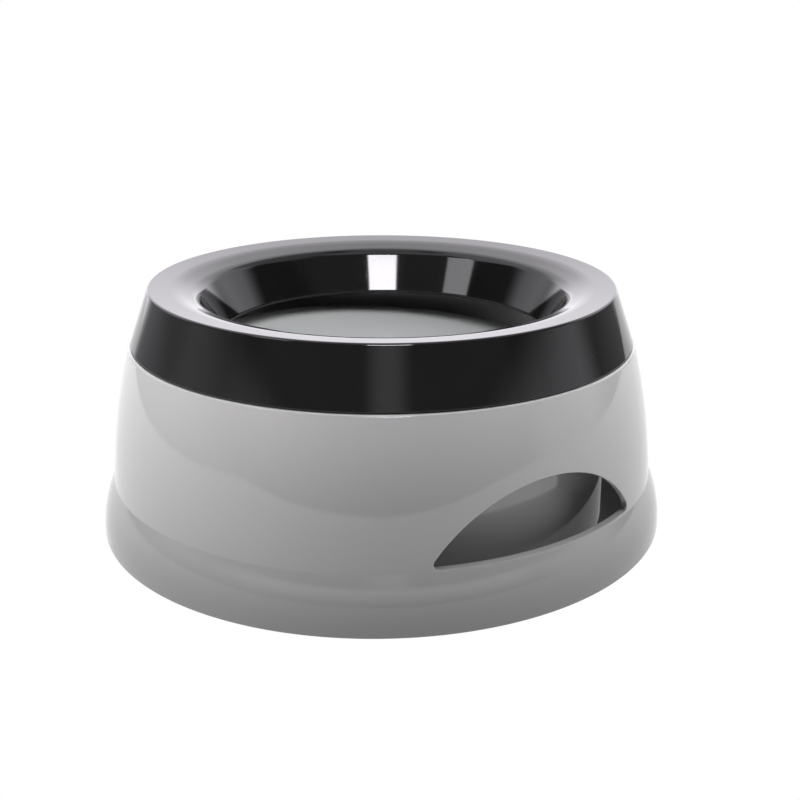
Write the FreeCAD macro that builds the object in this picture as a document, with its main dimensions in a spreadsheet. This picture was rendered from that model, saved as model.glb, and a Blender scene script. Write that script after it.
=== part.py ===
"""No spill dog water bowl: a double walled bowl, a twist-on splash ring and a floating disc.

Millimetres, +Z up. The origin is the middle of the surface that the bowl stands on,
and the two hand-holds face +X and -X.
"""

import FreeCAD
import Part
import math
import os

import Sketcher

DOCUMENT = FreeCAD.newDocument("no_spill_bowl")
VECTOR = FreeCAD.Vector
SAME_PLACE = 0.02

# Driving sizes

SIZES = {
    # whole bowl
    "total_height": 80.0,
    "base_radius": 94.5,
    "wall": 2.3,
    "moving_gap": 0.3,
    # plinth at the foot of the skirt
    "rim_lift": 0.2,
    "rim_chamfer": 0.6,
    "plinth_foot": 0.9,
    "plinth_curve": 37.0,
    "plinth_rise": 16.9,
    "plinth_inside_rise": 4.0,
    "crease_inset": 4.05,
    "crease_round": 0.8,
    # barrel shaped skirt and the shoulder that it ends in
    "barrel_curve": 203.0,
    "inside_bulge": 1.1,
    "shoulder_inset": 7.05,
    "shoulder_chamfer": 0.7,
    # neck and basin
    "neck_step": 8.4,
    "neck_room": 6.0,
    "neck_chamfer": 0.6,
    "basin_draft": 0.2,
    "basin_foot_lift": 1.2,
    "floor_lift": 3.1,
    "floor_wall": 2.4,
    "floor_chamfer": 5.0,
    "gusset_count": 8,
    "gusset_depth": 12.0,
    "gusset_wall": 1.8,
    # hand-holds, each a flat bottomed piece of a circle
    "hold_curve": 43.5,
    "hold_centre_drop": 22.05,
    "hold_sill_rise": 0.6,
    "hold_corner": 1.6,
    "hold_round": 0.35,
    # bayonet between neck and splash ring
    "bayonet_count": 3,
    "ramp_reach": 2.3,
    "ramp_lift": 4.6,
    "ramp_wall": 2.2,
    "ramp_arc": 30.0,
    "stop_arc": 2.0,
    "stop_play": 0.5,
    "lug_arc": 18.0,
    "lug_wall": 2.4,
    "lug_play": 0.6,
    # splash ring
    "ring_wall": 2.3,
    "band_height": 18.0,
    "band_inset": 0.6,
    "band_taper": 6.3,
    "ring_edge_chamfer": 0.6,
    "dish_width": 15.5,
    "dish_depth": 2.9,
    "dish_round": 4.5,
    "funnel_reach": 7.6,
    "lip_chamfer": 0.7,
    # floating disc
    "disc_overlap": 10.6,
    "disc_drop": 7.4,
    "disc_tilt": 3.1,
    "disc_low_side": 58.0,
    "disc_wall": 1.8,
    "disc_rim_depth": 8.0,
    "disc_rim_chamfer": 1.0,
    "water_hole_radius": 6.0,
    "spout_depth": 6.0,
    "disc_rib_count": 6,
    "disc_rib_depth": 5.0,
    "disc_rib_wall": 1.4,
    # rubber feet
    "foot_count": 4,
    "foot_inset": 20.8,
    "foot_radius": 8.0,
    "foot_play": 0.15,
    "foot_chamfer": 0.6,
    "collar_wall": 1.6,
}

SHEET = DOCUMENT.addObject("Spreadsheet::Sheet", "Sizes")
for row, (alias, number) in enumerate(SIZES.items(), start=1):
    SHEET.set("A%d" % row, alias)
    SHEET.set("B%d" % row, str(number))
    SHEET.setAlias("B%d" % row, alias)
DOCUMENT.recompute()


class Length:
    """A number together with the sheet formula that it comes from."""

    def __init__(self, number, formula):
        self.number = number
        self.formula = formula

    def join(self, other, sign, number):
        return Length(number, "(%s %s %s)" % (self.formula, sign, other.formula))

    def __add__(self, other):
        return self.join(other, "+", self.number + other.number)

    def __sub__(self, other):
        return self.join(other, "-", self.number - other.number)

    def __mul__(self, other):
        return self.join(other, "*", self.number * other.number)

    def __truediv__(self, other):
        return self.join(other, "/", self.number / other.number)

    def half(self):
        return Length(self.number / 2, "(%s / 2)" % self.formula)


def size(alias):
    """The named driving size."""
    return Length(SIZES[alias], "Sizes." + alias)


NOTHING = Length(0.0, "0")
HALF_TURN = Length(180.0, "180")


# Helpers for sketches and features

def new_body(label):
    body = DOCUMENT.addObject("PartDesign::Body", label)
    body.Label = label
    return body


def new_sketch(body, name, plane):
    """A sketch on one of the body's own origin planes: XY_Plane, XZ_Plane or YZ_Plane."""
    sketch = body.newObject("Sketcher::SketchObject", name)
    support = [item for item in body.Origin.OriginFeatures if item.Role == plane][0]
    sketch.AttachmentSupport = [(support, "")]
    sketch.MapMode = "FlatFace"
    return sketch


def bind(sketch, constraint, length):
    """Add a dimension to the sketch and tie it to its formula."""
    index = sketch.addConstraint(constraint)
    sketch.setExpression("Constraints[%d]" % index, length.formula)


def hold_point(sketch, shape_index, end, across, up):
    """Fix one end of a line or arc at a place given by two lengths."""
    if across is NOTHING:
        sketch.addConstraint(Sketcher.Constraint("PointOnObject", shape_index, end, -2))
    else:
        bind(sketch, Sketcher.Constraint("DistanceX", -1, 1, shape_index, end, across.number), across)
    if up is NOTHING:
        sketch.addConstraint(Sketcher.Constraint("PointOnObject", shape_index, end, -1))
    else:
        bind(sketch, Sketcher.Constraint("DistanceY", -1, 1, shape_index, end, up.number), up)


def arc_between(start, finish, radius, centre_on_left):
    """A circular arc from start to finish, and whether it runs from its own first end."""
    chord = finish - start
    middle = (start + finish) * 0.5
    normal = VECTOR(-chord.y, chord.x, 0).normalize()
    offset = math.sqrt(radius ** 2 - (chord.Length / 2) ** 2)
    centre = middle + normal * (offset if centre_on_left else -offset)
    first, last = (start, finish) if centre_on_left else (finish, start)
    angles = [math.atan2(point.y - centre.y, point.x - centre.x) for point in (first, last)]
    circle = Part.Circle(centre, VECTOR(0, 0, 1), radius)
    return Part.ArcOfCircle(circle, angles[0], angles[1]), centre_on_left


def closed_outline(sketch, corners):
    """Draw a closed outline.

    Each corner is (across, up) for a straight side to the next corner, or
    (across, up, radius, centre_on_left) where the side to the next corner is an arc.
    """
    places = [VECTOR(corner[0].number, corner[1].number, 0) for corner in corners]
    sides = []
    for index, corner in enumerate(corners):
        start = places[index]
        finish = places[(index + 1) % len(places)]
        if len(corner) == 2:
            sides.append((sketch.addGeometry(Part.LineSegment(start, finish), False), 1, 2))
            continue
        arc, forward = arc_between(start, finish, corner[2].number, corner[3])
        ends = (1, 2) if forward else (2, 1)
        sides.append((sketch.addGeometry(arc, False),) + ends)
    for index, corner in enumerate(corners):
        side, start_end, _ = sides[index]
        previous, _, finish_end = sides[index - 1]
        sketch.addConstraint(Sketcher.Constraint("Coincident", previous, finish_end, side, start_end))
        hold_point(sketch, side, start_end, corner[0], corner[1])
        if len(corner) > 2:
            bind(sketch, Sketcher.Constraint("Radius", side, corner[2].number), corner[2])


def box_corners(low_across, high_across, low_up, high_up):
    return [(low_across, low_up), (high_across, low_up), (high_across, high_up), (low_across, high_up)]


def turn_sketch(sketch, angle):
    """Turn a sketch in the XZ plane about Z."""
    sketch.AttachmentOffset = FreeCAD.Placement(VECTOR(), FreeCAD.Rotation(VECTOR(0, 1, 0), angle.number))
    sketch.setExpression("AttachmentOffset.Rotation.Angle", angle.formula)


def revolve(body, sketch, name, arc=None, start=None):
    """Turn a sketch in the XZ plane about Z: all round, or for an arc that starts at an angle."""
    feature = body.newObject("PartDesign::Revolution", name)
    feature.Profile = sketch
    feature.ReferenceAxis = (sketch, ["V_Axis"])
    if arc is None:
        feature.Angle = 360
    else:
        turn_sketch(sketch, start)
        feature.setExpression("Angle", arc.formula)
    DOCUMENT.recompute()
    return feature


def pattern(body, originals, name, count):
    """Repeat features evenly about Z."""
    feature = body.newObject("PartDesign::PolarPattern", name)
    feature.Originals = originals
    axis = [item for item in body.Origin.OriginFeatures if item.Role == "Z_Axis"][0]
    feature.Axis = (axis, [""])
    feature.Angle = 360
    feature.setExpression("Occurrences", count.formula)
    body.Tip = feature
    DOCUMENT.recompute()
    return feature


def dress_edges(body, feature, kind, name, reach, wanted):
    """Fillet or chamfer the edges of a feature for which wanted(edge) is true."""
    names = ["Edge%d" % (index + 1) for index, edge in enumerate(feature.Shape.Edges) if wanted(edge)]
    if not names:
        raise RuntimeError(name + " found no edges")
    dressed = body.newObject("PartDesign::" + kind, name)
    dressed.Base = (feature, names)
    dressed.setExpression("Radius" if kind == "Fillet" else "Size", reach.formula)
    body.Tip = dressed
    DOCUMENT.recompute()
    return dressed


def is_ring(edge, radius, height):
    """Whether an edge is a circle about Z with this radius at this height."""
    if not isinstance(edge.Curve, Part.Circle):
        return False
    level = abs(edge.Curve.Center.z - height.number) < SAME_PLACE
    return level and abs(edge.Curve.Radius - radius.number) < SAME_PLACE


def dress_rings(body, feature, kind, name, reach, places):
    """Fillet or chamfer the circular edges at the given (radius, height) places."""
    return dress_edges(body, feature, kind, name, reach,
                       lambda edge: any(is_ring(edge, radius, height) for radius, height in places))


# Places that several pieces share

wall = size("wall")
base_radius = size("base_radius")
crease_radius = base_radius - size("crease_inset")
crease_height = size("plinth_foot") + size("plinth_rise")
shoulder_radius = crease_radius - size("shoulder_inset")
lid_height = size("total_height") - size("band_height")
shoulder_height = lid_height - size("moving_gap")
ledge_underside = shoulder_height - wall
neck_radius = shoulder_radius - size("neck_step")
neck_top = size("total_height") - size("neck_room")
basin_foot_radius = neck_radius - size("basin_draft")
floor_underside = size("floor_lift")
floor_height = floor_underside + size("floor_wall")
foot_circle = basin_foot_radius - size("foot_inset")
ramp_bottom = shoulder_height + size("ramp_lift")
ramp_start = NOTHING - size("ramp_arc").half()
hold_sill = crease_height + size("hold_sill_rise")
band_radius = shoulder_radius - size("band_inset")
ring_top_radius = band_radius - size("band_taper")
dish_radius = ring_top_radius - size("dish_width")
lip_radius = dish_radius - size("funnel_reach")
disc_radius = lip_radius + size("disc_overlap")
disc_height = lid_height - size("disc_drop")


# Bowl body: basin, shoulder, skirt and plinth in one moulding

def basin_and_skirt(body):
    """The section of the double wall, turned about Z, with its rings rounded."""
    foot_inside = basin_foot_radius - wall
    barrel = size("barrel_curve")
    rim = size("rim_lift")
    outline = new_sketch(body, "bowl_section", "XZ_Plane")
    closed_outline(outline, [
        (base_radius, rim),
        (base_radius, size("plinth_foot"), size("plinth_curve"), True),
        (crease_radius, crease_height, barrel, True),
        (shoulder_radius, shoulder_height),
        (neck_radius, shoulder_height),
        (neck_radius, neck_top),
        (neck_radius - wall, neck_top),
        (foot_inside, floor_height),
        (NOTHING, floor_height),
        (NOTHING, floor_underside),
        (foot_inside, floor_underside),
        (foot_inside, size("basin_foot_lift")),
        (basin_foot_radius, size("basin_foot_lift")),
        (neck_radius, ledge_underside),
        (shoulder_radius - wall, ledge_underside),
        ((shoulder_radius + crease_radius).half() - wall + size("inside_bulge"),
         (ledge_underside + crease_height).half()),
        (crease_radius - wall, crease_height),
        (base_radius - wall, size("plinth_foot") + size("plinth_inside_rise")),
        (base_radius - wall, rim),
    ])
    shell = revolve(body, outline, "bowl_shell")
    for kind, name, reach, places in (
        ("Chamfer", "rim_edge", "rim_chamfer", [(base_radius, rim)]),
        ("Fillet", "crease_rounding", "crease_round", [(crease_radius, crease_height)]),
        ("Chamfer", "shoulder_edge", "shoulder_chamfer", [(shoulder_radius, shoulder_height)]),
        ("Chamfer", "neck_edges", "neck_chamfer", [(neck_radius, neck_top), (neck_radius - wall, neck_top)]),
        ("Chamfer", "floor_edge", "floor_chamfer", [(foot_inside, floor_height)]),
    ):
        shell = dress_rings(body, shell, kind, name, size(reach), places)


def hold_outline(body, hold_plane):
    """The flat bottomed arch of a hand-hold, and half its width."""
    outline = new_sketch(body, "hold_outline", "YZ_Plane")
    outline.AttachmentOffset = FreeCAD.Placement(VECTOR(0, 0, hold_plane.number), FreeCAD.Rotation())
    outline.setExpression("AttachmentOffset.Base.z", hold_plane.formula)
    curve = size("hold_curve").number
    centre = hold_sill - size("hold_centre_drop")
    drop = size("hold_centre_drop").number
    half_width = math.sqrt(curve ** 2 - drop ** 2)
    rise = math.atan2(drop, half_width)
    sill = hold_sill.number
    circle = Part.Circle(VECTOR(0, centre.number, 0), VECTOR(0, 0, 1), curve)
    arch = outline.addGeometry(Part.ArcOfCircle(circle, rise, math.pi - rise), False)
    sill_line = Part.LineSegment(VECTOR(-half_width, sill, 0), VECTOR(half_width, sill, 0))
    line = outline.addGeometry(sill_line, False)
    outline.addConstraint(Sketcher.Constraint("Coincident", arch, 2, line, 1))
    outline.addConstraint(Sketcher.Constraint("Coincident", line, 2, arch, 1))
    outline.addConstraint(Sketcher.Constraint("Horizontal", line))
    hold_point(outline, arch, 3, NOTHING, centre)
    bind(outline, Sketcher.Constraint("Radius", arch, curve), size("hold_curve"))
    bind(outline, Sketcher.Constraint("DistanceY", -1, 1, line, 1, sill), hold_sill)
    return outline, half_width


def hand_holds(body):
    """Two openings in the skirt, cut from the space between the walls outwards."""
    hold_plane = neck_radius + wall
    outline, half_width = hold_outline(body, hold_plane)
    before = body.Tip.Shape.Volume
    cut = body.newObject("PartDesign::Pocket", "hold_cut")
    cut.Profile = outline
    cut.Reversed = True
    cut.setExpression("Length", (base_radius - hold_plane).formula)
    DOCUMENT.recompute()
    if cut.Shape.Volume >= before:
        raise RuntimeError("the hand-hold cuts nothing")
    both = pattern(body, [cut], "hold_pair", Length(2, "2"))
    sill = hold_sill.number
    crown = sill - size("hold_centre_drop").number + size("hold_curve").number

    def edge_middle(edge):
        return edge.valueAt((edge.FirstParameter + edge.LastParameter) / 2)

    def at_sill_corner(edge):
        middle = edge_middle(edge)
        radial = abs(abs(edge.tangentAt(edge.FirstParameter).x) - 1) < SAME_PLACE
        return radial and abs(middle.z - sill) < SAME_PLACE and abs(abs(middle.y) - half_width) < SAME_PLACE

    both = dress_edges(body, both, "Fillet", "hold_corners", size("hold_corner"), at_sill_corner)

    barrel = size("barrel_curve").number
    low = VECTOR(crease_radius.number, crease_height.number, 0)
    high = VECTOR(shoulder_radius.number, shoulder_height.number, 0)
    barrel_centre = arc_between(low, high, barrel, True)[0].Center

    def on_outside(edge):
        middle = edge_middle(edge)
        reach = math.hypot(math.hypot(middle.x, middle.y) - barrel_centre.x, middle.z - barrel_centre.y)
        low_enough = middle.z < crown + SAME_PLACE
        high_enough = middle.z > sill - SAME_PLACE
        return low_enough and high_enough and abs(reach - barrel) < SAME_PLACE and abs(middle.y) < half_width

    dress_edges(body, both, "Fillet", "hold_rounding", size("hold_round"), on_outside)


def bayonet_ramps(body):
    """Ledges round the neck that the ring's lugs turn under, each with an end stop."""
    root = neck_radius - wall.half()
    reach = neck_radius + size("ramp_reach")
    ramp_top = ramp_bottom + size("ramp_wall")
    ramp_outline = new_sketch(body, "ramp_section", "XZ_Plane")
    closed_outline(ramp_outline, box_corners(root, reach, ramp_bottom, ramp_top))
    ramp = revolve(body, ramp_outline, "ramp", size("ramp_arc"), ramp_start)
    stop_outline = new_sketch(body, "stop_section", "XZ_Plane")
    closed_outline(stop_outline, box_corners(root, reach, ledge_underside, ramp_top))
    stop = revolve(body, stop_outline, "stop", size("stop_arc"), ramp_start)
    pattern(body, [ramp, stop], "ramps", size("bayonet_count"))


def ledge_gussets(body):
    """Small brackets under the shoulder, between it and the basin wall."""
    outline = new_sketch(body, "gusset_outline", "XZ_Plane")
    root = neck_radius - wall.half()
    top = shoulder_height - wall.half()
    closed_outline(outline, [
        (root, ledge_underside - size("gusset_depth")),
        (shoulder_radius - wall, ledge_underside),
        (shoulder_radius - wall, top),
        (root, top),
    ])
    turn_sketch(outline, HALF_TURN / size("gusset_count"))
    gusset = body.newObject("PartDesign::Pad", "gusset")
    gusset.Profile = outline
    gusset.Midplane = True
    gusset.setExpression("Length", size("gusset_wall").formula)
    DOCUMENT.recompute()
    pattern(body, [gusset], "gussets", size("gusset_count"))


def foot_collars(body):
    """Short collars under the basin floor that hold the rubber feet."""
    outline = new_sketch(body, "collar_outline", "XY_Plane")
    outline.AttachmentOffset = FreeCAD.Placement(VECTOR(0, 0, floor_underside.number), FreeCAD.Rotation())
    outline.setExpression("AttachmentOffset.Base.z", floor_underside.formula)
    inside = size("foot_radius") + size("foot_play")
    for radius in (inside, inside + size("collar_wall")):
        circle = outline.addGeometry(
            Part.Circle(VECTOR(foot_circle.number, 0, 0), VECTOR(0, 0, 1), radius.number), False)
        hold_point(outline, circle, 3, foot_circle, NOTHING)
        bind(outline, Sketcher.Constraint("Radius", circle, radius.number), radius)
    collar = body.newObject("PartDesign::Pad", "collar")
    collar.Profile = outline
    collar.Reversed = True
    collar.setExpression("Length", (floor_underside - size("basin_foot_lift")).formula)
    DOCUMENT.recompute()
    pattern(body, [collar], "collars", size("foot_count"))


def make_bowl_body():
    body = new_body("bowl_body")
    basin_and_skirt(body)
    hand_holds(body)
    bayonet_ramps(body)
    ledge_gussets(body)
    foot_collars(body)
    return body


# Splash ring: outer band, dished top and funnel lip in one moulding

def make_splash_ring():
    body = new_body("splash_ring")
    ring_wall = size("ring_wall")
    top = size("total_height")
    dish = top - size("dish_depth")
    outline = new_sketch(body, "ring_section", "XZ_Plane")
    closed_outline(outline, [
        (band_radius, lid_height),
        (ring_top_radius, top),
        (dish_radius, dish),
        (lip_radius, lid_height),
        (lip_radius + ring_wall, lid_height),
        (dish_radius + ring_wall, dish - ring_wall),
        (ring_top_radius - ring_wall, top - ring_wall),
        (band_radius - ring_wall, lid_height),
    ])
    ring = revolve(body, outline, "ring_shell")
    lip_outside = lip_radius + ring_wall
    for kind, name, reach, places in (
        ("Chamfer", "ring_edge", "ring_edge_chamfer", [(ring_top_radius, top)]),
        ("Fillet", "dish_edge", "dish_round", [(dish_radius, dish)]),
        ("Chamfer", "lip_edge", "lip_chamfer", [(lip_radius, lid_height), (lip_outside, lid_height)]),
    ):
        ring = dress_rings(body, ring, kind, name, size(reach), places)

    # Each lug reaches from the middle of the sloping band to just clear of the neck.
    lug_top = ramp_bottom - size("moving_gap")
    lug_bottom = lug_top - size("lug_wall")
    slope = size("band_taper") / size("band_height")
    middle = band_radius - ring_wall.half()
    lug_inside = neck_radius + size("lug_play")
    lug_outline = new_sketch(body, "lug_section", "XZ_Plane")
    closed_outline(lug_outline, [
        (lug_inside, lug_bottom),
        (middle - slope * (lug_bottom - lid_height), lug_bottom),
        (middle - slope * (lug_top - lid_height), lug_top),
        (lug_inside, lug_top),
    ])
    lug_start = ramp_start + size("stop_arc") + size("stop_play")
    lug = revolve(body, lug_outline, "lug", size("lug_arc"), lug_start)
    pattern(body, [lug], "lugs", size("bayonet_count"))
    return body


# Floating disc: a plate with a turned down rim and a small water hole

def make_float_disc():
    body = new_body("float_disc")
    plate = size("disc_wall")
    hole = size("water_hole_radius")
    under = NOTHING - plate
    spout = NOTHING - size("spout_depth")
    skirt = NOTHING - size("disc_rim_depth")
    outline = new_sketch(body, "disc_section", "XZ_Plane")
    closed_outline(outline, [
        (hole, NOTHING),
        (hole, spout),
        (hole + plate, spout),
        (hole + plate, under),
        (disc_radius - plate, under),
        (disc_radius - plate, skirt),
        (disc_radius, skirt),
        (disc_radius, NOTHING),
    ])
    disc = revolve(body, outline, "disc_shell")
    rims = [(disc_radius, NOTHING), (hole, NOTHING)]
    dress_rings(body, disc, "Chamfer", "disc_edge", size("disc_rim_chamfer"), rims)

    rib_outline = new_sketch(body, "rib_outline", "XZ_Plane")
    closed_outline(rib_outline, box_corners(
        hole + plate.half(), disc_radius - plate.half(), NOTHING - size("disc_rib_depth"), under.half()))
    rib = body.newObject("PartDesign::Pad", "disc_rib")
    rib.Profile = rib_outline
    rib.Midplane = True
    rib.setExpression("Length", size("disc_rib_wall").formula)
    DOCUMENT.recompute()
    pattern(body, [rib], "disc_ribs", size("disc_rib_count"))

    # The disc floats a little askew, lowest towards disc_low_side.
    low_side = math.radians(size("disc_low_side").number)
    tilt_axis = VECTOR(-math.sin(low_side), math.cos(low_side), 0)
    body.Placement = FreeCAD.Placement(
        VECTOR(0, 0, disc_height.number), FreeCAD.Rotation(tilt_axis, size("disc_tilt").number))
    body.setExpression("Placement.Base.z", disc_height.formula)
    body.setExpression("Placement.Rotation.Angle", size("disc_tilt").formula)
    return body


# Rubber feet in the collars under the basin

def make_foot_pad(number):
    body = new_body("foot_pad_%d" % number)
    outline = new_sketch(body, "foot_section_%d" % number, "XZ_Plane")
    closed_outline(outline, box_corners(NOTHING, size("foot_radius"), NOTHING, floor_underside))
    pad = revolve(body, outline, "foot_%d" % number)
    sole = [(size("foot_radius"), NOTHING)]
    dress_rings(body, pad, "Chamfer", "foot_edge_%d" % number, size("foot_chamfer"), sole)
    angle = "%d * 360 / Sizes.foot_count" % (number - 1)
    body.setExpression("Placement.Base.x", "%s * cos(%s)" % (foot_circle.formula, angle))
    body.setExpression("Placement.Base.y", "%s * sin(%s)" % (foot_circle.formula, angle))
    return body


# Build, check and write

def check_document():
    DOCUMENT.recompute()
    for item in DOCUMENT.Objects:
        if "Invalid" in item.State or "Error" in item.State:
            raise RuntimeError("%s failed: %s" % (item.Name, item.State))


def write_pieces(bodies):
    os.makedirs("parts", exist_ok=True)
    for body in bodies:
        shape = body.Shape
        if shape.isNull() or not shape.isValid() or len(shape.Solids) != 1:
            raise RuntimeError(body.Label + " is not one valid solid")
    for body in bodies:
        body.Shape.exportStep(os.path.join("parts", body.Label + ".step"))
        print("%-12s volume %9.1f mm3" % (body.Label, body.Shape.Volume))


pieces = [make_bowl_body(), make_splash_ring(), make_float_disc()]
pieces += [make_foot_pad(number) for number in range(1, int(SIZES["foot_count"]) + 1)]
check_document()
write_pieces(pieces)
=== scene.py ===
"""No spill dog water bowl: moulded grey bowl, black splash ring and grey floating disc.

Metres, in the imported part's own frame. Sections are written in millimetres and turned about Z.
"""

import math

import bpy
from mathutils import Matrix, Vector
from mathutils.geometry import delaunay_2d_cdt


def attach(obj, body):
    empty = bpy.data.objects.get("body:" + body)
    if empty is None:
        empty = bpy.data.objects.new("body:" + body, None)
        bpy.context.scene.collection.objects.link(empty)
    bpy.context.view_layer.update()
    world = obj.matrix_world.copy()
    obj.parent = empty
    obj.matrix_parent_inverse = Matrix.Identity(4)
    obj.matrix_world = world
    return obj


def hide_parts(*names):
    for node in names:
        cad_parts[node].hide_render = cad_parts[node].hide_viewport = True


MM = 0.001
COLUMNS = 240
SAME_PLACE = 1e-7
PHOTO_TURN = math.radians(58.0)

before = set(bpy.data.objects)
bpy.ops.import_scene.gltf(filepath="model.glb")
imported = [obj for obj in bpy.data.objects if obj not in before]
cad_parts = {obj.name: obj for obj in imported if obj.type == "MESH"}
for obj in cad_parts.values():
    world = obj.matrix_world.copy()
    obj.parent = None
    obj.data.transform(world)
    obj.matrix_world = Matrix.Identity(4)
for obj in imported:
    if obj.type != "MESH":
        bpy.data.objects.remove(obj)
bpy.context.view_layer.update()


# Main sizes, in millimetres; a pair is a radius and a height

BASE_RADIUS = 94.5
TOP_HEIGHT = 80.0
WALL = 2.3
CREASE = (90.45, 17.8)
SHOULDER = (83.4, 61.7)
PLINTH_CURVE = 37.0
SKIRT_CURVE = 203.0
NECK_RADIUS = 75.0
NECK_TOP = 74.0
BASIN_RADIUS = 72.5
FLOOR_TOP = 5.5
FLOOR_UNDER = 3.1
RIM_UNDER = 1.2

HOLD_CURVE = 43.5
HOLD_CENTRE = -3.65
HOLD_SILL = 18.4
HOLD_CORNER = 1.6
HOLD_EDGE = 0.35

RAMP_RADIUS = 77.3
RAMP_UNDER = 66.3
RAMP_TOP = 68.5
LUG_RADIUS = 75.6
LUG_UNDER = 63.6
LUG_TOP = 66.0
BAYONET_COUNT = 3

BAND_RADIUS = 82.8
BAND_FOOT = 62.0
RIM_RADIUS = 76.5
MOUTH_RADIUS = 53.4

DISC_RADIUS = 64.0
DISC_SPOUT_RADIUS = 6.0
DISC_PLATE = 1.8
DISC_HEIGHT = 54.6
DISC_TILT = 3.1
DISC_LOW_SIDE = 58.0

FOOT_COUNT = 4
FOOT_PLACE_RADIUS = 54.0
COLLAR_INSIDE = 8.15
COLLAR_OUTSIDE = 9.75


# Sections

def turn_between(first, second):
    """Signed angle from one direction to another."""
    return math.atan2(first.x * second.y - first.y * second.x, first.dot(second))


def outward(direction):
    """The normal on the right of a direction of travel."""
    return Vector((direction.y, -direction.x))


def section(corners, closed=False, step=5.0):
    """Sample an outline with rounded corners.

    corners holds (radius, height) or (radius, height, rounding). The result is a list of
    (place, normal). A sharp corner is there twice, once with each side's normal.
    """
    places = [Vector(corner[:2]) for corner in corners]
    count = len(corners)
    samples = []
    for index, corner in enumerate(corners):
        here = places[index]
        if not closed and index in (0, count - 1):
            other = places[1] if index == 0 else places[count - 2]
            along = (other - here if index == 0 else here - other).normalized()
            samples.append((here, outward(along)))
            continue
        before = (here - places[index - 1]).normalized()
        after = (places[(index + 1) % count] - here).normalized()
        turn = turn_between(before, after)
        rounding = corner[2] if len(corner) > 2 else 0.0
        if rounding > 0:
            reach = rounding * abs(math.tan(turn / 2))
            side = 1 if turn > 0 else -1
            first = here - before * reach
            centre = first - outward(before) * rounding * side
            steps = max(2, math.ceil(abs(math.degrees(turn)) / step))
            for number in range(steps + 1):
                spin = Matrix.Rotation(turn * number / steps, 2)
                normal = spin @ outward(before)
                samples.append((centre + normal * rounding * side, normal))
        elif abs(turn) < math.radians(12):
            samples.append((here, (outward(before) + outward(after)).normalized()))
        else:
            samples.append((here, outward(before)))
            samples.append((here, outward(after)))
    if closed:
        samples.append(samples[0])
    return samples


def barrel(low, high, curve, count):
    """Places on the circular arc from low to high that bulges outwards, ends left out."""
    start = Vector(low)
    finish = Vector(high)
    chord = finish - start
    middle = (start + finish) / 2
    inward = Vector((-chord.y, chord.x)).normalized()
    centre = middle + inward * math.sqrt(curve ** 2 - (chord.length / 2) ** 2)
    first = start - centre
    whole = turn_between(first, finish - centre)
    places = []
    for number in range(1, count):
        spun = Matrix.Rotation(whole * number / count, 2) @ first
        places.append(tuple(centre + spun))
    return places


# Meshes

def turned_out(angle, place, normal):
    """A section's place and normal, turned about Z by an angle in radians."""
    across = Vector((math.cos(angle), math.sin(angle), 0))
    point = across * place.x + Vector((0, 0, place.y))
    return point, across * normal.x + Vector((0, 0, normal.y))


class Surface:
    """Points, normals and faces of one piece, gathered before its mesh is made."""

    def __init__(self):
        self.points = []
        self.normals = []
        self.faces = []

    def add(self, points, normals):
        start = len(self.points)
        self.points += [Vector(point) for point in points]
        self.normals += [Vector(normal).normalized() for normal in normals]
        return start

    def strip_rows(self, rows):
        """Join neighbouring rows of (point, normal) with faces, but not where the rows meet."""
        length = len(rows[0])
        points = [point for row in rows for point, _ in row]
        normals = [normal for row in rows for _, normal in row]
        start = self.add(points, normals)
        for row in range(len(rows) - 1):
            for place in range(length - 1):
                first = start + row * length + place
                face = [first, first + length, first + length + 1, first + 1]
                here, opposite, opposite_next, here_next = (self.points[index] for index in face)
                widths = (here - here_next).length, (opposite - opposite_next).length
                if max(widths) > SAME_PLACE:
                    self.faces.append(face)

    def turned(self, samples, start=0.0, stop=360.0, columns=COLUMNS):
        """Turn a section about Z from one angle to another, in degrees."""
        rows = []
        for column in range(columns + 1):
            angle = math.radians(start + (stop - start) * column / columns)
            rows.append([turned_out(angle, place, normal) for place, normal in samples])
        self.strip_rows(rows)

    def flat(self, corners):
        """One flat face with its own normal."""
        places = [Vector(corner) for corner in corners]
        normal = (places[1] - places[0]).cross(places[2] - places[0])
        start = self.add(places, [normal] * len(places))
        self.faces.append([start + index for index in range(len(places))])

    def plate(self, outline, thickness, angle):
        """A plate with an outline in the XZ plane, turned about Z by an angle in degrees."""
        spin = Matrix.Rotation(math.radians(angle), 3, "Z")
        near = [spin @ Vector((across, -thickness / 2, up)) for across, up in outline]
        far = [spin @ Vector((across, thickness / 2, up)) for across, up in outline]
        self.flat(near)
        self.flat(far[::-1])
        for index in range(len(outline)):
            following = (index + 1) % len(outline)
            self.flat([near[following], near[index], far[index], far[following]])

    def arc_block(self, outline, start, stop):
        """A block with an outline of radius and height, turned through an arc with flat ends."""
        self.turned(section(outline, closed=True), start, stop, columns=12)
        for angle, corners in ((start, outline), (stop, outline[::-1])):
            turn = math.radians(angle)
            across = Vector((math.cos(turn), math.sin(turn), 0))
            self.flat([across * corner[0] + Vector((0, 0, corner[1])) for corner in corners])

    def make(self, name, body, material, node, place=Matrix.Identity(4)):
        """Make the mesh, in metres, and tie it to its body, slot and node."""
        mesh = bpy.data.meshes.new(name)
        points = [place @ (point * MM) for point in self.points]
        mesh.from_pydata(points, [], self.faces)
        turn = place.to_3x3()
        mesh.shade_smooth()
        mesh.normals_split_custom_set_from_vertices([turn @ normal for normal in self.normals])
        mesh.materials.append(material)
        piece = bpy.data.objects.new(name, mesh)
        bpy.context.scene.collection.objects.link(piece)
        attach(piece, body)
        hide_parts(node)
        return piece


# Hand-hold: an arch with a flat sill, cut through the skirt along X

SILL_STEPS = 48
CORNER_STEPS = 10
ARCH_STEPS = 90
EDGE_STEPS = 5
PATCH_COLUMNS = 42
PATCH_TOP = 55.0
UNROLLED_RADIUS = 88.0


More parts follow.
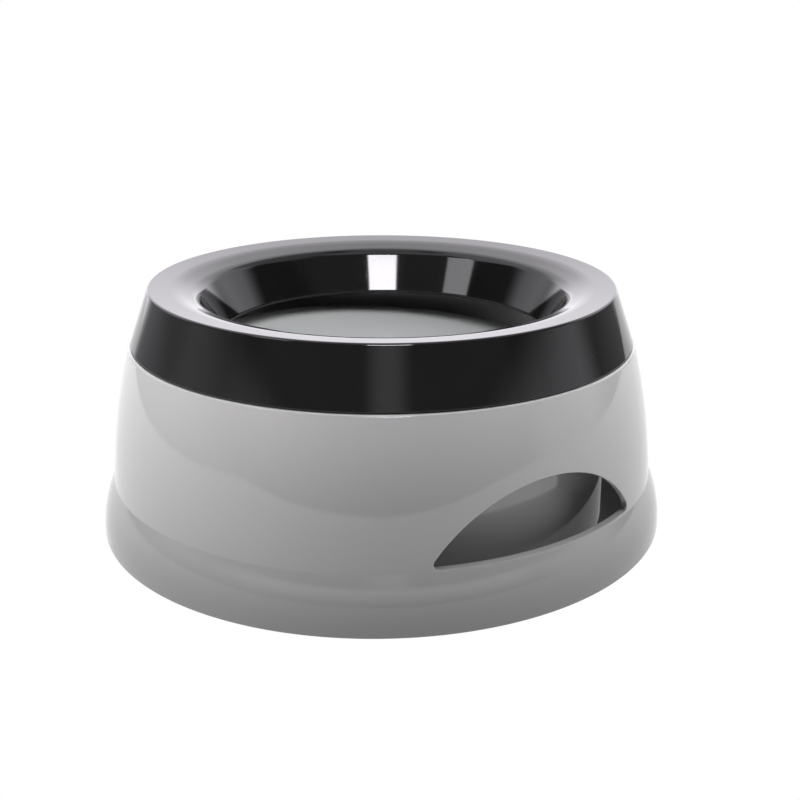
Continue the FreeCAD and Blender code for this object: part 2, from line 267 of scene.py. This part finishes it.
def hold_loop(grow):
    """The opening's outline, grown outwards: (across, up, across normal, up normal), anticlockwise."""
    curve = HOLD_CURVE + grow
    corner = HOLD_CORNER + grow
    corner_up = HOLD_SILL + HOLD_CORNER
    corner_across = math.sqrt((HOLD_CURVE - HOLD_CORNER) ** 2 - (corner_up - HOLD_CENTRE) ** 2)
    lean = math.atan2(corner_up - HOLD_CENTRE, corner_across)
    loop = []
    for number in range(SILL_STEPS):
        across = corner_across * (2 * number / SILL_STEPS - 1)
        loop.append((across, HOLD_SILL - grow, 0.0, -1.0))
    for centre, first, last, steps, radius in (
        ((corner_across, corner_up), -math.pi / 2, lean, CORNER_STEPS, corner),
        ((0.0, HOLD_CENTRE), lean, math.pi - lean, ARCH_STEPS, curve),
        ((-corner_across, corner_up), math.pi - lean, 1.5 * math.pi, CORNER_STEPS, corner),
    ):
        for number in range(steps):
            angle = first + (last - first) * number / steps
            normal = (math.cos(angle), math.sin(angle))
            across = centre[0] + radius * normal[0]
            up = centre[1] + radius * normal[1]
            loop.append((across, up) + normal)
    return loop


def inside_loop(loop, across, up):
    """Whether a place lies inside a closed loop of (across, up) places."""
    inside = False
    for index, (x_a, y_a) in enumerate(loop):
        x_b, y_b = loop[index - 1]
        if (y_a > up) != (y_b > up) and across < x_a + (up - y_a) * (x_b - x_a) / (y_b - y_a):
            inside = not inside
    return inside


class Skin:
    """A turned wall that can be looked up by height, from samples that only go up or only down."""

    def __init__(self, samples):
        self.samples = samples
        self.lengths = [0.0]
        for index in range(1, len(samples)):
            step = (samples[index][0] - samples[index - 1][0]).length
            self.lengths.append(self.lengths[-1] + step)

    def between(self, index, share):
        low_place, low_normal = self.samples[index]
        high_place, high_normal = self.samples[index + 1]
        place = low_place.lerp(high_place, share)
        normal = low_normal.lerp(high_normal, share)
        return place, normal

    def at_height(self, height):
        """(place, normal, length along the section) at a height on the smooth part of the wall."""
        for index in range(len(self.samples) - 1):
            low = self.samples[index][0].y
            high = self.samples[index + 1][0].y
            if min(low, high) <= height <= max(low, high) and low != high:
                share = (height - low) / (high - low)
                place, normal = self.between(index, share)
                step = self.lengths[index + 1] - self.lengths[index]
                return place, normal, self.lengths[index] + share * step
        raise ValueError("no such height")


def patch_grid(skin, rim_flat, angles):
    """The grid points of the patch that lie outside the opening, and the patch's border.

    Returns the places on the unrolled wall, their (angle, place, normal) and the border's edges.
    """
    flat = []
    info = []
    grid = {}
    for row, length in enumerate(skin.lengths):
        if row and length - skin.lengths[row - 1] < SAME_PLACE:
            continue
        for column, angle in enumerate(angles):
            unrolled = angle * UNROLLED_RADIUS
            if inside_loop(rim_flat, unrolled, length):
                continue
            grid[row, column] = len(flat)
            flat.append(Vector((unrolled, length)))
            info.append((angle,) + tuple(skin.samples[row]))
    rows = sorted({row for row, _ in grid})
    last = len(angles) - 1
    border = []
    for first, second in zip(rows, rows[1:]):
        border.append((grid[first, 0], grid[second, 0]))
        border.append((grid[first, last], grid[second, last]))
    for column in range(last):
        for row in (rows[0], rows[-1]):
            border.append((grid[row, column], grid[row, column + 1]))
    return flat, info, border


def wall_with_holds(surface, samples, grow):
    """A turned wall whose two hand-hold areas are meshed round the opening.

    Returns for each side the opening's rim on this wall as (point, normal), and the wall's skin.
    """
    skin = Skin(samples)
    edge_angle = 180.0 * PATCH_COLUMNS / COLUMNS
    for middle in (0.0, 180.0):
        start = middle + edge_angle
        stop = middle + 180.0 - edge_angle
        surface.turned(samples, start, stop, columns=COLUMNS // 2 - PATCH_COLUMNS)
    rim = []
    rim_flat = []
    for across, up, _, _ in hold_loop(grow):
        place, normal, length = skin.at_height(up)
        angle = math.asin(across / place.x)
        rim.append((angle, place, normal))
        rim_flat.append((angle * UNROLLED_RADIUS, length))
    angles = []
    for number in range(PATCH_COLUMNS + 1):
        angles.append(math.radians(edge_angle * (2 * number / PATCH_COLUMNS - 1)))
    flat, info, border = patch_grid(skin, rim_flat, angles)
    start = len(flat)
    flat += [Vector(place) for place in rim_flat]
    info += rim
    border += [(start + index, start + (index + 1) % len(rim)) for index in range(len(rim))]
    found, _, triangles, origins, _, _ = delaunay_2d_cdt(flat, border, [], 0, 1e-6)
    rims = []
    for turn in (0.0, math.pi):
        points = []
        normals = []
        for origin in origins:
            angle, place, normal = info[origin[0]]
            point, out = turned_out(angle + turn, place, normal)
            points.append(point)
            normals.append(out)
        base = surface.add(points, normals)
        for triangle in triangles:
            middle = sum((found[index] for index in triangle), Vector((0, 0))) / 3
            if inside_loop(rim_flat, middle.x, middle.y):
                continue
            corners = [base + index for index in triangle]
            a, b, c = (surface.points[index] for index in corners)
            if (b - a).cross(c - a).dot(surface.normals[corners[0]]) < 0:
                corners.reverse()
            surface.faces.append(corners)
        rims.append([turned_out(angle + turn, place, normal) for angle, place, normal in rim])
    return rims, skin


def hold_sides(surface, outer_rims, outer, inner_rims):
    """The rounded edge and the flat sides of both openings."""
    for turn, outer_rim, inner_rim in zip((0.0, math.pi), outer_rims, inner_rims):
        spin = Matrix.Rotation(turn, 3, "Z")
        rows = []
        for index, (across, up, across_normal, up_normal) in enumerate(hold_loop(0.0)):
            place, _, _ = outer.at_height(up)
            corner = Vector((math.sqrt(place.x ** 2 - across ** 2), across, up))
            first, first_normal = outer_rim[index]
            last = spin @ (corner - Vector((HOLD_EDGE, 0, 0)))
            corner = spin @ corner
            inside_normal = spin @ Vector((0, -across_normal, -up_normal))
            row = []
            for number in range(EDGE_STEPS + 1):
                share = number / EDGE_STEPS
                rest = 1 - share
                point = first * rest ** 2 + corner * 2 * share * rest + last * share ** 2
                row.append((point, first_normal.lerp(inside_normal, share)))
            row.append((inner_rim[index][0], inside_normal))
            rows.append(row)
        rows.append(rows[0])
        surface.strip_rows(rows)


# Materials

WHITE = (1, 1, 1, 1)
PLASTIC_IOR = 1.49
TINT_SPREAD = 0.025
# Painted shade: the heights and depths over which the plastics' colour darkens towards the table.
PAINTED_FADE_HEIGHTS = (-0.02, 0.06)
PAINTED_FADE_DEPTH = 0.75
PAINTED_FOOT_HEIGHTS = (0.002, 0.02)
PAINTED_FOOT_DEPTH = 0.3
DUST_COLOUR = (0.75, 0.75, 0.74, 1)
DUST_STRENGTH = 0.35


def node_maker(tree):
    """A helper that adds a shader node to a tree, with each input linked or set."""

    def node(kind, inputs=None, **settings):
        added = tree.nodes.new("ShaderNode" + kind)
        for key, value in settings.items():
            setattr(added, key, value)
        for key, value in (inputs or {}).items():
            if isinstance(value, bpy.types.NodeSocket):
                tree.links.new(value, added.inputs[key])
            else:
                added.inputs[key].default_value = value
        return added

    return node


def maths(node, operation, *values):
    """The result of a Math node."""
    return node("Math", dict(enumerate(values)), operation=operation).outputs[0]


def scaled(node, value, start, stop, low=0.0, high=1.0, smooth=False):
    """A value from start to stop as a number from low to high, and no further."""
    ends = {"Value": value, "From Min": start, "From Max": stop, "To Min": low, "To Max": high}
    kind = "SMOOTHSTEP" if smooth else "LINEAR"
    return node("MapRange", ends, interpolation_type=kind).outputs["Result"]


def mixed(node, share, first, second):
    """Two shaders mixed: the first where the share is 0, the second where it is 1."""
    return node("MixShader", {0: share, 1: first.outputs[0], 2: second.outputs[0]})


def material(name):
    """An empty material and a helper that adds nodes to it."""
    made = bpy.data.materials.new(name)
    made.use_nodes = True
    made.node_tree.nodes.clear()
    return made, node_maker(made.node_tree)


def moulded_plastic(name, colour, roughness, specks, scratches, painted_foot_shade=1.0):
    """Smooth moulded plastic with faint waves, hairline scratches, dust specks and painted shade towards
    the table.

    specks is the share of cells that hold a speck, and scratches is the roughness that a scratch adds.
    The last argument sets how strongly painted shade darkens the colour towards the table; even at 1.0 a
    milder painted shade darkens it below 60 mm.
    """
    made, node = material(name)
    place = node("TexCoord").outputs["Object"]

    cloud = node("TexNoise", {"Vector": place, "Scale": 28.0, "Detail": 3.0})
    grain = scaled(node, cloud.outputs["Fac"], 0.0, 1.0, 1 - TINT_SPREAD, 1 + TINT_SPREAD)
    height = node("SeparateXYZ", {"Vector": place}).outputs["Z"]
    # Painted shade: the colour darkens with falling height from 60 mm down to the table, and further in
    # the last 20 mm.
    painted_fade = scaled(node, height, *PAINTED_FADE_HEIGHTS, low=painted_foot_shade * PAINTED_FADE_DEPTH)
    foot = scaled(node, height, *PAINTED_FOOT_HEIGHTS, low=painted_foot_shade ** PAINTED_FOOT_DEPTH, smooth=True)
    shade = maths(node, "MULTIPLY", grain, maths(node, "MULTIPLY", painted_fade, foot))
    colours = {"Fac": 1.0, "Color1": colour + (1,), "Color2": shade}
    tint = node("MixRGB", colours, blend_type="MULTIPLY").outputs["Color"]

    cells = node("TexVoronoi", {"Vector": place, "Scale": 260.0}, feature="F1")
    speck = scaled(node, cells.outputs["Distance"], 0.08, 0.04)
    luck = node("SeparateColor", {"Color": cells.outputs["Color"]}).outputs[0]
    chosen = maths(node, "GREATER_THAN", luck, 1 - specks)
    dust = maths(node, "MULTIPLY", maths(node, "MULTIPLY", speck, chosen), DUST_STRENGTH)
    dusty = node("MixRGB", {"Fac": dust, "Color1": tint, "Color2": DUST_COLOUR})

    stretch = {"Vector": place, "Rotation": (0.3, 0.5, 0.9), "Scale": (1.0, 22.0, 9.0)}
    stretched = node("Mapping", stretch).outputs["Vector"]
    lines = node("TexNoise", {"Vector": stretched, "Scale": 60.0, "Detail": 1.0})
    scratch = scaled(node, lines.outputs["Fac"], 0.72, 0.76)
    rough = maths(node, "ADD", maths(node, "MULTIPLY", scratch, scratches), roughness)

    waves = node("TexNoise", {"Vector": place, "Scale": 45.0, "Detail": 0.0})
    bump = node("Bump", {"Height": waves.outputs["Fac"], "Strength": 0.12, "Distance": 0.0002})
    shader = node("BsdfPrincipled", {
        "Base Color": dusty.outputs["Color"],
        "Roughness": rough,
        "IOR": PLASTIC_IOR,
        "Normal": bump.outputs["Normal"],
    })
    node("OutputMaterial", {"Surface": shader.outputs["BSDF"]})
    return made


def rubber(name):
    """Dull dark rubber with a fine grain."""
    made, node = material(name)
    place = node("TexCoord").outputs["Object"]
    grain = node("TexNoise", {"Vector": place, "Scale": 1500.0, "Detail": 2.0}).outputs["Fac"]
    bump = node("Bump", {"Height": grain, "Strength": 0.3, "Distance": 0.0001})
    shader = node("BsdfPrincipled", {
        "Base Color": scaled(node, grain, 0.0, 1.0, 0.008, 0.014),
        "Roughness": 0.65,
        "Normal": bump.outputs["Normal"],
    })
    node("OutputMaterial", {"Surface": shader.outputs["BSDF"]})
    return made


# The grey bowl gets the strongest painted shade, which darkens its foot.
GREY = moulded_plastic(
    "grey_plastic", (0.46, 0.452, 0.458), roughness=0.06, specks=0.02, scratches=0.10, painted_foot_shade=0.48
)
BLACK = moulded_plastic(
    "black_plastic", (0.0075, 0.0072, 0.0073), roughness=0.06, specks=0.01, scratches=0.08
)
DISC_GREY = moulded_plastic(
    "disc_plastic", (0.44, 0.452, 0.455), roughness=0.10, specks=0.02, scratches=0.10
)
RUBBER = rubber("foot_rubber")


# Bowl body

PLINTH_INSIDE = (BASE_RADIUS - WALL, 4.9)
INNER_CREASE = (CREASE[0] - WALL, CREASE[1])
LEDGE_CORNER = (SHOULDER[0] - WALL, SHOULDER[1] - WALL)
LEDGE_START = (80.0, SHOULDER[1])


def first_above(samples, height):
    """Index of the first sample that lies higher than a height."""
    return next(index for index, (place, _) in enumerate(samples) if place.y > height)


def add_skirt(bowl):
    """The flared plinth and the barrel shaped skirt, with a hand-hold through it on each side."""
    plinth_foot = (BASE_RADIUS, 0.9)
    outer = [PLINTH_INSIDE, (PLINTH_INSIDE[0], 0.2, 0.2), (BASE_RADIUS, 0.2, 0.6), plinth_foot]
    outer += barrel(plinth_foot, CREASE, PLINTH_CURVE, 16) + [CREASE + (0.8,)]
    outer += barrel(CREASE, SHOULDER, SKIRT_CURVE, 26) + [SHOULDER + (0.7,), LEDGE_START]
    outer = section(outer)
    low_at = first_above(outer, CREASE[1] + 0.1)
    high_at = first_above(outer, PATCH_TOP)
    bowl.turned(outer[:low_at + 1])
    outer_rims, outer_wall = wall_with_holds(bowl, outer[low_at:high_at + 1], HOLD_EDGE)
    bowl.turned(outer[high_at:])
    inner = [LEDGE_CORNER] + barrel(INNER_CREASE, LEDGE_CORNER, SKIRT_CURVE, 12)[::-1]
    inner = section(inner + [INNER_CREASE, PLINTH_INSIDE])
    low_at = len(inner) - 2
    inner_rims, _ = wall_with_holds(bowl, inner[:low_at + 1], 0.0)
    bowl.turned(inner[low_at:])
    hold_sides(bowl, outer_rims, outer_wall, inner_rims)


def add_basin(bowl):
    """The ledge, neck and basin, seen from above and from below."""
    bowl.turned(section([
        LEDGE_START, (NECK_RADIUS, SHOULDER[1], 0.5), (NECK_RADIUS, NECK_TOP, 0.6),
        (BASIN_RADIUS + 0.2, NECK_TOP, 0.6), (BASIN_RADIUS, FLOOR_TOP, 8.0), (0.0, FLOOR_TOP),
    ]))
    bowl.turned(section([
        (0.0, FLOOR_UNDER), (BASIN_RADIUS, FLOOR_UNDER), (BASIN_RADIUS, RIM_UNDER, 0.4),
        (NECK_RADIUS - 0.2, RIM_UNDER, 0.4), (NECK_RADIUS, LEDGE_CORNER[1], 0.5), LEDGE_CORNER,
    ]))


def add_bayonet(bowl):
    """Ramps round the neck, each with an end stop that hangs down from its start."""
    buried = NECK_RADIUS - 1.0
    for number in range(BAYONET_COUNT):
        start = number * 360 / BAYONET_COUNT - 15
        for under, length in ((RAMP_UNDER, 30), (SHOULDER[1] - 0.7, 2)):
            outline = [(buried, under), (RAMP_RADIUS, under), (RAMP_RADIUS, RAMP_TOP), (buried, RAMP_TOP)]
            bowl.arc_block(outline, start, start + length)


def add_brackets(bowl):
    """Eight brackets under the ledge."""
    inside = NECK_RADIUS - 0.6
    top = LEDGE_CORNER[1] + 1.1
    outline = [(inside, 47.4), LEDGE_CORNER, (LEDGE_CORNER[0], top), (inside, top)]
    for number in range(8):
        bowl.plate(outline, 1.8, 22.5 + number * 45)


def add_collars(bowl):
    """A collar round each rubber foot."""
    outline = section([
        (COLLAR_INSIDE, FLOOR_UNDER), (COLLAR_INSIDE, RIM_UNDER, 0.2),
        (COLLAR_OUTSIDE, RIM_UNDER, 0.2), (COLLAR_OUTSIDE, FLOOR_UNDER),
    ])
    collar = Surface()
    collar.turned(outline, columns=48)
    for number in range(FOOT_COUNT):
        spin = Matrix.Rotation(number * 2 * math.pi / FOOT_COUNT, 3, "Z")
        shift = spin @ Vector((FOOT_PLACE_RADIUS, 0, 0))
        base = bowl.add([point + shift for point in collar.points], collar.normals)
        bowl.faces += [[base + index for index in face] for face in collar.faces]


def make_bowl():
    bowl = Surface()
    add_skirt(bowl)
    add_basin(bowl)
    add_bayonet(bowl)
    add_brackets(bowl)
    add_collars(bowl)
    return bowl.make("bowl", "base", GREY, "bowl_body")


# Splash ring

def make_ring():
    ring = Surface()
    ring.turned(section([
        (BAND_RADIUS, BAND_FOOT, 0.3), (RIM_RADIUS, TOP_HEIGHT, 0.8),
        (68.0, TOP_HEIGHT - 0.8, 20.0), (61.0, TOP_HEIGHT - 2.9, 4.5),
        (MOUTH_RADIUS, BAND_FOOT, 0.9), (MOUTH_RADIUS + WALL, BAND_FOOT, 0.6),
        (63.3, 74.8, 1.5), (RIM_RADIUS - WALL, TOP_HEIGHT - WALL, 1.2),
        (BAND_RADIUS - WALL, BAND_FOOT, 0.3),
    ], closed=True))
    lug = [(LUG_RADIUS, LUG_UNDER), (81.1, LUG_UNDER), (80.3, LUG_TOP), (LUG_RADIUS, LUG_TOP)]
    for number in range(BAYONET_COUNT):
        start = number * 360 / BAYONET_COUNT - 12.5
        ring.arc_block(lug, start, start + 18)
    return ring.make("ring", "ring", BLACK, "splash_ring")


# Floating disc, drawn level with its top at height 0 and then tilted

def make_disc():
    disc = Surface()
    disc.turned(section([
        (DISC_SPOUT_RADIUS, 0.0, 0.8), (DISC_SPOUT_RADIUS, -6.0, 0.3),
        (DISC_SPOUT_RADIUS + DISC_PLATE, -6.0, 0.3), (DISC_SPOUT_RADIUS + DISC_PLATE, -DISC_PLATE, 0.5),
        (DISC_RADIUS - DISC_PLATE, -DISC_PLATE, 0.8), (DISC_RADIUS - DISC_PLATE, -8.0, 0.4),
        (DISC_RADIUS, -8.0, 0.4), (DISC_RADIUS, 0.0, 1.6),
    ], closed=True))
    inside = DISC_SPOUT_RADIUS + 0.9
    outside = DISC_RADIUS - 0.9
    for number in range(6):
        disc.plate([(inside, -5.0), (outside, -5.0), (outside, -0.9), (inside, -0.9)], 1.4, number * 60)
    low_side = math.radians(DISC_LOW_SIDE)
    tilt_axis = Vector((-math.sin(low_side), math.cos(low_side), 0))
    tilt = Matrix.Rotation(math.radians(DISC_TILT), 4, tilt_axis)
    place = Matrix.Translation(Vector((0, 0, DISC_HEIGHT)) * MM) @ tilt
    return disc.make("disc", "float", DISC_GREY, "float_disc", place)


make_bowl()
make_ring()
make_disc()
for number in range(1, FOOT_COUNT + 1):
    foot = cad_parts["foot_pad_%d" % number]
    foot.data.materials.clear()
    foot.data.materials.append(RUBBER)


# Camera, from the fit to the two rims in the photograph

PICTURE_PIXELS = 800
FOCAL_PIXELS = 1175
AXIS_PIXEL = (467.2, 362.4)
SENSOR = 36.0
CAMERA_PLACE = (0, -0.382, 0.169)
CAMERA_PITCH = 17.14
CAMERA_YAW = 4.17
CAMERA_ROLL = 1.01


def studio(place):
    """A place given as seen from the camera's side (right, away, up), in the part's frame."""
    return Matrix.Rotation(PHOTO_TURN, 3, "Z") @ Vector(place)


def add_camera():
    pitch = math.radians(CAMERA_PITCH)
    yaw = math.radians(CAMERA_YAW)
    roll = math.radians(CAMERA_ROLL)
    level = Vector((math.sin(yaw), math.cos(yaw), 0))
    ahead = level * math.cos(pitch) - Vector((0, 0, math.sin(pitch)))
    right = Vector((math.cos(yaw), -math.sin(yaw), 0))
    above = right.cross(ahead)
    rolled_right = right * math.cos(roll) + above * math.sin(roll)
    rolled_above = above * math.cos(roll) - right * math.sin(roll)
    axes = Matrix((studio(rolled_right), studio(rolled_above), studio(-ahead))).transposed()
    data = bpy.data.cameras.new("camera")
    data.lens = SENSOR * FOCAL_PIXELS / PICTURE_PIXELS
    data.sensor_width = SENSOR
    data.shift_x = (PICTURE_PIXELS / 2 - AXIS_PIXEL[0]) / PICTURE_PIXELS
    data.shift_y = (AXIS_PIXEL[1] - PICTURE_PIXELS / 2) / PICTURE_PIXELS
    data.clip_start = 0.01
    camera = bpy.data.objects.new("camera", data)
    camera.matrix_world = Matrix.Translation(studio(CAMERA_PLACE)) @ axes.to_4x4()
    bpy.context.scene.collection.objects.link(camera)
    bpy.context.scene.camera = camera


# Studio

# Each panel: name, azimuth (from, to, softness), lower edge (elevation, softness), upper edge and
# strength. Degrees; azimuth 0 is the camera's side and grows to the right.
SOFT_PANELS = [
    ("soft_top", (-200, 200, 10), (62, 10), (100, 5), 3.7),
    ("soft_upper_right", (70, 150, 15), (25, 8), (55, 10), 2.0),
    ("soft_left", (-105, -70, 12), (-5, 8), (20, 8), 12.0),
    ("soft_right", (70, 105, 12), (-5, 8), (20, 8), 4.2),
    ("soft_back_left", (-200, -150, 12), (0, 12), (50, 12), 1.5),
    ("soft_back_right", (150, 200, 12), (0, 12), (50, 12), 1.5),
]
BRIGHT_PANELS = [
    ("haze", (-62, 62, 14), (0, 12), (14, 3), 1.3),
    ("front_band", (-60, 60, 6), (16, 2), (27, 3), 0.15),
    ("streak", (-6, 8, 5), (14, 3), (26, 2), 0.6),
    ("front_mid", (-60, 60, 6), (29, 2), (48, 4), 0.15),
    ("front_high", (-60, 60, 10), (52, 5), (74, 5), 1.0),
    ("left_low", (-103, -64, 8), (-10, 8), (13, 4), 0.4),
    ("left_back", (-145, -103, 8), (-15, 8), (5, 6), 0.32),
    ("left_back_mid", (-145, -108, 8), (9, 6), (36, 4), 1.2),
    ("left_high", (-145, -64, 8), (36, 4), (72, 6), 1.3),
    ("right_low", (64, 103, 8), (-10, 8), (13, 4), 0.9),
    ("right_back", (103, 145, 8), (-15, 8), (5, 6), 0.18),
    ("right_back_mid", (108, 145, 8), (9, 6), (36, 4), 1.4),
    ("right_high", (64, 145, 8), (36, 4), (72, 6), 0.6),
    ("back_low_left", (-215, -145, 8), (-15, 8), (18, 4), 2.0),
    ("back_low_right", (145, 215, 8), (-15, 8), (18, 4), 2.0),
    ("back_mid_left", (-215, -145, 8), (18, 4), (36, 4), 1.7),
    ("back_mid_right", (145, 215, 8), (18, 4), (36, 4), 1.7),
    ("back_high_left", (-215, -145, 8), (36, 4), (72, 6), 1.9),
    ("back_high_right", (145, 215, 8), (36, 4), (72, 6), 1.9),
    ("zenith", (-200, 200, 5), (78, 5), (100, 5), 1.0),
    ("window", (-9, 13, 0.7), (28, 0.7), (42, 0.7), 26.0),
    ("grey_window", (-69, -49, 1), (28, 1), (42, 1), 4.0),
]
SOFT_DIM = 0.05
BRIGHT_DIM = 0.03
NO_TINT = (1.0, 1.0, 1.0)
COOL_TINT = (1.01, 0.985, 1.04)

# The table, in metres as seen from the camera's side: its corners (right, away) and its strengths
# for the light, for the reflections and under the bowl.
TABLE_CORNERS = [(-0.375, -0.29), (0.0, -0.29), (0.33, -0.40), (0.55, -0.40), (0.55, 0.9), (-0.375, 0.9)]
TABLE_HEIGHT = -0.00005
TABLE_COLOUR = (0.78, 0.78, 0.80, 1)
TABLE_BOUNCE = 0.92
TABLE_REFLECTED = 1.1
UNDER_GLOW = 0.3
UNDER_RADIUS = 0.093


def add_floor():
    """A pale table top, lit a little from below, that ends in front of the bowl.

    The camera itself sees white round the bowl, and sees through the table from below. The table
    lies a hair under the feet, so that their faces are not in one plane with it.
    """
    made, node = material("floor")
    path = node("LightPath").outputs
    geometry = node("NewGeometry").outputs
    place = node("SeparateXYZ", {"Vector": geometry["Position"]}).outputs
    across = maths(node, "MULTIPLY", place["X"], place["X"])
    reach = maths(node, "MULTIPLY_ADD", place["Y"], place["Y"], across)
    outside = maths(node, "GREATER_THAN", reach, UNDER_RADIUS ** 2)
    from_below = maths(node, "MULTIPLY", geometry["Backfacing"], path["Is Camera Ray"])

    def glow(strength):
        return node("Emission", {"Color": WHITE, "Strength": strength})

    unseen = mixed(node, path["Is Glossy Ray"], glow(TABLE_BOUNCE), glow(TABLE_REFLECTED))
    bright = mixed(node, path["Is Camera Ray"], unseen, glow(1.0))
    shaded = node("BsdfDiffuse", {"Color": TABLE_COLOUR})
    lit = node("AddShader", {0: shaded.outputs[0], 1: glow(UNDER_GLOW).outputs[0]})
    under = mixed(node, path["Is Camera Ray"], lit, shaded)
    above = mixed(node, outside, under, bright)
    surface = mixed(node, from_below, above, node("BsdfTransparent"))
    node("OutputMaterial", {"Surface": surface.outputs[0]})
    corners = [studio(corner + (TABLE_HEIGHT,)) for corner in TABLE_CORNERS]
    mesh = bpy.data.meshes.new("floor")
    mesh.from_pydata(corners, [], [list(range(len(corners)))])
    mesh.materials.append(made)
    floor = bpy.data.objects.new("floor", mesh)
    bpy.context.scene.collection.objects.link(floor)


def add_world():
    """White for the camera, a soft room for the light and bright panels for the reflections."""
    world = bpy.data.worlds.new("studio")
    world.use_nodes = True
    world.node_tree.nodes.clear()
    node = node_maker(world.node_tree)
    seen = node("TexCoord").outputs["Generated"]
    ahead = node("VectorRotate", {"Vector": seen, "Angle": -PHOTO_TURN}, rotation_type="Z_AXIS")
    parts = node("SeparateXYZ", {"Vector": ahead.outputs["Vector"]}).outputs
    towards = maths(node, "MULTIPLY", parts["Y"], -1.0)
    azimuth = maths(node, "ARCTAN2", parts["X"], towards)
    elevation = maths(node, "ARCSINE", parts["Z"])

    def edge(value, middle, softness):
        """A smooth step, in degrees, from 0 before an edge to 1 past it."""
        start = math.radians(middle - softness)
        stop = math.radians(middle + softness)
        return scaled(node, value, start, stop, smooth=True)

    def room(panels, dim, tint):
        """The sum of the panels over a dim room, in the colour of a tint."""
        total = (dim, dim, dim)
        for title, (left, right, side_softness), low, high, strength in panels:
            share = edge(azimuth, left, side_softness)
            for step in (edge(azimuth, right, -side_softness), edge(elevation, *low),
                         edge(elevation, high[0], -high[1])):
                share = maths(node, "MULTIPLY", share, step)
            level = node("Math", {0: share, 1: strength}, operation="MULTIPLY", label=title)
            added = {0: total, 1: level.outputs[0]}
            total = node("VectorMath", added, operation="ADD").outputs["Vector"]
        tinted = node("VectorMath", {0: total, 1: tint}, operation="MULTIPLY")
        return node("Background", {"Color": tinted.outputs["Vector"]})

    path = node("LightPath").outputs
    light = room(SOFT_PANELS, SOFT_DIM, NO_TINT)
    reflections = room(BRIGHT_PANELS, BRIGHT_DIM, COOL_TINT)
    unseen = mixed(node, path["Is Glossy Ray"], light, reflections)
    seen_white = node("Background", {"Color": WHITE})
    surface = mixed(node, path["Is Camera Ray"], unseen, seen_white)
    node("OutputWorld", {"Surface": surface.outputs[0]})
    bpy.context.scene.world = world


add_camera()
add_floor()
add_world()

bpy.context.scene.view_settings.view_transform = "Standard"
